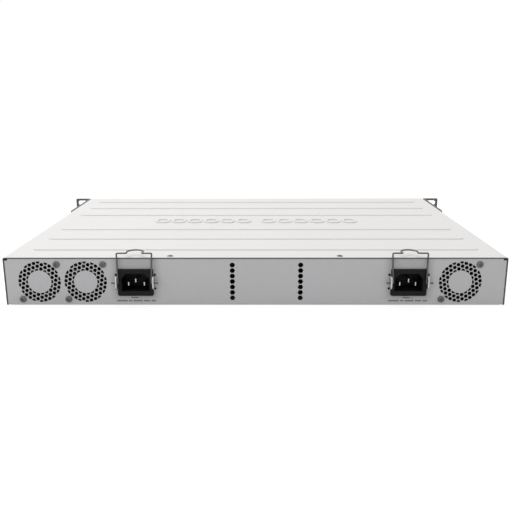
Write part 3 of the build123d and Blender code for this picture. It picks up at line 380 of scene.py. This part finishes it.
FINISHES = {
    "white_cover": cover_finish(),
    "grey_panel": panel_finish(),
    "front_finish": powder_coat("front_powder_coat", WHITE, 0.45).material,
    "ear_finish": powder_coat("ear_powder_coat", (0.13, 0.13, 0.132), 0.5).material,
    "zinc_screw": brushed("zinc_screw", (0.19, 0.19, 0.195), 0.42, (1, 1, 1)),
    "bracket_steel": brushed("bracket_steel", (0.68, 0.68, 0.68), 0.42, (1, 0.1, 1)),
    "wire_steel": brushed("spring_wire", (0.15, 0.148, 0.145), 0.38, (0.2, 0.2, 0.2)),
    "inlet_black": moulded("inlet_black", (0.0055, 0.0055, 0.0058), 0.50, gloss=0.2),
    "nickel": brushed("nickel_plate", (0.66, 0.65, 0.62), 0.20, (1, 0.1, 1), scratch=0.0012 * MM),
    "fan_black": moulded("fan_black", (0.008, 0.008, 0.0085), 0.46, gloss=0.25),
    "copper_winding": winding("copper_winding", (0.70, 0.28, 0.11)),
    "lead_jacket": moulded("lead_jacket", (0.018, 0.018, 0.018), 0.5, depth=0.008 * MM),
    "board_green": circuit_board("circuit_board"),
    "brass_standoff": brushed("brass_standoff", (0.66, 0.49, 0.20), 0.3, (1, 1, 0.2)),
    "chip_black": moulded("chip_package", (0.017, 0.017, 0.018), 0.6),
    "heatsink_alu": brushed("heatsink_aluminium", (0.66, 0.66, 0.67), 0.38, (1, 0.08, 1)),
    "header_white": moulded("header_nylon", (0.70, 0.69, 0.64), 0.5),
    "jack_plastic": moulded("jack_plastic", (0.013, 0.013, 0.014), 0.45),
    "tin_shield": brushed("tin_shield", (0.66, 0.66, 0.65), 0.3, (0.1, 1, 1)),
    "gold_contact": brushed("gold_contact", (0.83, 0.60, 0.24), 0.22, (1, 0.1, 1)),
    "button_plastic": moulded("button_plastic", (0.02, 0.02, 0.02), 0.45),
    "light_pipe": plain_surface("light_pipe", (0.78, 0.80, 0.78), 0.18, grain=900.0, coat=0.3),
    "transformer_tape": plain_surface("transformer_tape", (0.62, 0.48, 0.07), 0.35, stretch=(1, 1, 6)),
    "capacitor_sleeve": plain_surface("capacitor_sleeve", (0.012, 0.016, 0.045), 0.25, coat=0.4),
}


def dress_nodes():
    """Give every CAD node the finish of its material slot in the record."""
    for part in frame["record"]["subparts"]:
        thing = NODES[part["node"]]
        finish = FINISHES[part["material_slot"]]
        if not thing.data.materials:
            thing.data.materials.append(finish)
        for slot in thing.material_slots:
            slot.material = finish


dress_nodes()

# ---------------------------------------------------------------- printed legends
REAR_FACE_Y = panel_high.y
FRONT_FACE_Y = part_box("front_panel")[0].y
PRINT_LIFT = 0.03 * MM
PRINT_THICK = 0.02 * MM
DASH_FILL = 0.74
DASH_CORNER = 0.18
DIGIT_HEIGHT = 0.7
SMALL_PRINT = 1.2 * MM
PORT_PRINT = 1.9 * MM
PORT_PITCH, PORT_COLUMNS = 13.97 * MM, 6
CAGE_PORTS = 4
LAMP_PITCH, LAMP_COUNT = 6.5 * MM, 10


def numeral(text, height, u=0.0):
    """Mesh of a printed number, centred at u on the reader's line."""
    curve = bpy.data.curves.new("numeral", "FONT")
    curve.body = text
    curve.size = height / DIGIT_HEIGHT
    curve.align_x = "CENTER"
    curve.align_y = "CENTER"
    curve.extrude = PRINT_THICK
    maker = new_object("numeral", curve)
    bpy.context.view_layer.update()
    made = bmesh.new()
    outline = bpy.data.meshes.new_from_object(maker)
    made.from_mesh(outline)
    bpy.data.objects.remove(maker)
    bpy.data.meshes.remove(outline)
    bpy.data.curves.remove(curve)
    bmesh.ops.translate(made, verts=made.verts, vec=(u, 0, 0))
    return made


def add_block(made, outline, middle_u):
    """Add a closed flat prism, face by face, so that its faces come in the same order each run."""
    top = [made.verts.new((middle_u + x, y, PRINT_THICK)) for x, y in outline]
    foot = [made.verts.new((middle_u + x, y, -PRINT_THICK)) for x, y in outline]
    made.faces.new(top)
    made.faces.new(foot)
    for k in range(len(outline)):
        made.faces.new((top[k - 1], top[k], foot[k], foot[k - 1]))


def dashes(groups, width, height, u=0.0):
    """Groups of plain eight-sided blocks in one row of this width, where wording would otherwise be."""
    made = bmesh.new()
    pitch = width / (sum(groups) + len(groups) - 1)
    a, b, cut = DASH_FILL * pitch / 2, height / 2, DASH_CORNER * height
    outline = [(a, b - cut), (a - cut, b), (cut - a, b), (-a, b - cut),
               (-a, cut - b), (cut - a, -b), (a - cut, -b), (a, cut - b)]
    left = u - width / 2
    for count in groups:
        for k in range(count):
            add_block(made, outline, left + (k + 0.5) * pitch)
        left += (count + 1) * pitch
    bmesh.ops.recalc_face_normals(made, faces=made.faces)
    return made


def print_on(name, marks, face_y, outward, material):
    """One mesh of flat printed marks on an upright face; outward is the face's direction along Y."""
    print_y = face_y + outward * PRINT_LIFT
    sheet = bmesh.new()
    for mark, x, z in marks:
        turn = Matrix(((-outward, 0, 0, x), (0, 0, outward, print_y), (0, 1, 0, z), (0, 0, 0, 1)))
        bmesh.ops.transform(mark, matrix=turn, verts=mark.verts)
        flat = bpy.data.meshes.new("mark")
        mark.to_mesh(flat)
        sheet.from_mesh(flat)
        mark.free()
        bpy.data.meshes.remove(flat)
    mesh = bpy.data.meshes.new(name)
    sheet.to_mesh(mesh)
    sheet.free()
    mesh.materials.append(material)
    legend = new_object(name, mesh)
    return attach(legend, ROOT)


def middle(node):
    low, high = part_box(node)
    return (low + high) / 2


def rear_legends():
    """Under each inlet a numbered short row and a long row."""
    marks = []
    for number in (1, 2):
        x = middle(f"ac_inlet_{number}").x
        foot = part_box(f"ac_inlet_{number}")[0].z
        upper, lower = foot - 2.1 * MM, foot - 5.0 * MM
        marks.append((dashes((5,), width=6.4 * MM, height=SMALL_PRINT, u=-1.4 * MM), x, upper))
        marks.append((numeral(str(number), height=1.4 * MM, u=3.8 * MM), x, upper))
        marks.append((dashes((7, 2, 6, 4, 3), width=34.6 * MM, height=1.4 * MM), x, lower))
    return marks


def port_columns():
    """Centre X of each column of the copper ports, in order of X in each block."""
    centres = [middle(f"rj45_housing_{number}").x for number in (1, 2)]
    return [x + (k - (PORT_COLUMNS - 1) / 2) * PORT_PITCH for x in centres for k in range(PORT_COLUMNS)]


def front_legends():
    """Port numbers above and below the sockets, and short rows by the other controls."""
    low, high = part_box("rj45_shield_1")
    marks = []
    for k, x in enumerate(port_columns()):
        marks.append((numeral(str(2 * k + 1), PORT_PRINT), x, high.z + 2.6 * MM))
        marks.append((numeral(str(2 * k + 2), PORT_PRINT), x, low.z - 2.9 * MM))
    copper_ports = 4 * PORT_COLUMNS
    cage_low, cage_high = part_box("sfp_cage")
    step = (cage_high.x - cage_low.x) / CAGE_PORTS
    for k in range(CAGE_PORTS):
        text = str(copper_ports + 1 + k)
        marks.append((numeral(text, PORT_PRINT), cage_low.x + (k + 0.5) * step, cage_high.z + 2.6 * MM))
    usb = middle("usb_console_port")
    marks.append((dashes((7,), 8.0 * MM, SMALL_PRINT), usb.x, usb.z + 5.2 * MM))
    reset = middle("reset_button")
    marks.append((dashes((5,), 5.7 * MM, SMALL_PRINT), reset.x, reset.z + 4.6 * MM))
    lamps = middle("led_light_pipes")
    for k in range(LAMP_COUNT):
        lamp_x = lamps.x + (k - (LAMP_COUNT - 1) / 2) * LAMP_PITCH
        marks.append((dashes((3,), 3.4 * MM, SMALL_PRINT), lamp_x, lamps.z + 3.4 * MM))
    return marks


print_on("rear_legends", rear_legends(), REAR_FACE_Y, 1, ink("rear_ink", (0.07, 0.07, 0.073)))
print_on("front_legends", front_legends(), FRONT_FACE_Y, -1, ink("front_ink", (0.06, 0.06, 0.065)))

# ---------------------------------------------------------------- port lights
WINDOW_SIZE = (2.8 * MM, 0.3 * MM, 1.5 * MM)
WINDOW_BEVEL = 0.12 * MM
WINDOW_PROUD = 0.02 * MM
WINDOW_ASIDE = 4.3 * MM
WINDOW_RISE = 10.4 * MM


def port_lights():
    """Two small lens windows by the latch of every copper port, bevelled and a little proud."""
    low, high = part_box("rj45_housing_1")
    mid_z = (low.z + high.z) / 2
    size = Matrix.Diagonal((*WINDOW_SIZE, 1))
    windows = bmesh.new()
    for x in port_columns():
        for side in (-1, 1):
            for aside in (-WINDOW_ASIDE, WINDOW_ASIDE):
                place = Matrix.Translation((x + aside, low.y - WINDOW_PROUD, mid_z + side * WINDOW_RISE))
                made = bmesh.ops.create_cube(windows, size=1.0, matrix=place @ size)
                edges = list(dict.fromkeys(e for v in made["verts"] for e in v.link_edges))
                bmesh.ops.bevel(windows, geom=edges, offset=WINDOW_BEVEL, segments=2, affect="EDGES",
                                profile=0.5)
    mesh = bpy.data.meshes.new("port_light_lenses")
    windows.to_mesh(mesh)
    windows.free()
    mesh.materials.append(lamp_window("port_light_lens"))
    lenses = new_object("port_light_lenses", mesh)
    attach(lenses, ROOT)


port_lights()

# ---------------------------------------------------------------- studio
HORIZON, ZENITH = 0.56, 1.05
FLOOR_GLOW_SEEN, FLOOR_GLOW_UNSEEN = 0.62, 0.2
FLOOR_HALF = 40.0
FLOOR_DROP = 0.3 * MM
SOFTBOX_AIM = Vector((0, 0, 0.02))


def seen_only(tree):
    """Factor that is 1 for what the eye sees and 0 for the light that falls on things."""
    return tree.nodes.new("ShaderNodeLightPath").outputs["Is Camera Ray"]


def world_light():
    """White surroundings; their light is soft from overhead and weaker along the horizon."""
    world = bpy.data.worlds.new("studio")
    bpy.context.scene.world = world
    world.use_nodes = True
    tree = world.node_tree
    spot = tree.nodes.new("ShaderNodeTexCoord")
    split = tree.nodes.new("ShaderNodeSeparateXYZ")
    tree.links.new(spot.outputs["Generated"], split.inputs["Vector"])
    climb = tree.nodes.new("ShaderNodeMapRange")
    climb.inputs["To Min"].default_value = HORIZON
    climb.inputs["To Max"].default_value = ZENITH
    tree.links.new(split.outputs["Z"], climb.inputs["Value"])
    pick = tree.nodes.new("ShaderNodeMix")
    tree.links.new(seen_only(tree), pick.inputs["Factor"])
    tree.links.new(climb.outputs["Result"], pick.inputs[NUMBER_A])
    pick.inputs[NUMBER_B].default_value = 1.0
    shine = tree.nodes["Background"]
    shine.inputs["Color"].default_value = (1.0, 1.0, 1.0, 1.0)
    tree.links.new(pick.outputs[NUMBER_OUT], shine.inputs["Strength"])


def floor_plane():
    """Pale floor that looks white and throws less light than it shows."""
    mesh = bpy.data.meshes.new("floor")
    corners = [(-FLOOR_HALF, -FLOOR_HALF), (FLOOR_HALF, -FLOOR_HALF), (FLOOR_HALF, FLOOR_HALF),
               (-FLOOR_HALF, FLOOR_HALF)]
    mesh.from_pydata([(x, y, -FLOOR_DROP) for x, y in corners], [], [(0, 1, 2, 3)])
    floor = new_object("floor", mesh)
    pale = Shader("pale_floor")
    pale.set(Base_Color=(0.55, 0.55, 0.55, 1.0), Roughness=0.9, Emission_Color=(1.0, 1.0, 1.0, 1.0),
             Specular_IOR_Level=0.0)
    glow = pale.band(seen_only(pale.tree), 0.0, 1.0, FLOOR_GLOW_UNSEEN, FLOOR_GLOW_SEEN)
    pale.link(glow, pale.principled.inputs["Emission Strength"])
    mesh.materials.append(pale.material)


def softbox(name, place, watts, width):
    """Square area light aimed at the middle of the object."""
    data = bpy.data.lights.new(name, "AREA")
    data.energy = watts
    data.size = width
    lamp = new_object(name, data)
    lamp.location = place
    lamp.rotation_mode = "QUATERNION"
    lamp.rotation_quaternion = (SOFTBOX_AIM - Vector(place)).to_track_quat("-Z", "Y")


world_light()
floor_plane()
softbox("softbox_key", place=(0.7, -0.9, 1.5), watts=14.0, width=1.0)
softbox("softbox_fill", place=(1.2, 1.0, 0.8), watts=3.0, width=0.9)

view = bpy.context.scene.view_settings
view.view_transform = "Standard"
view.look = "None"
view.exposure = 0.0
view.gamma = 1.0
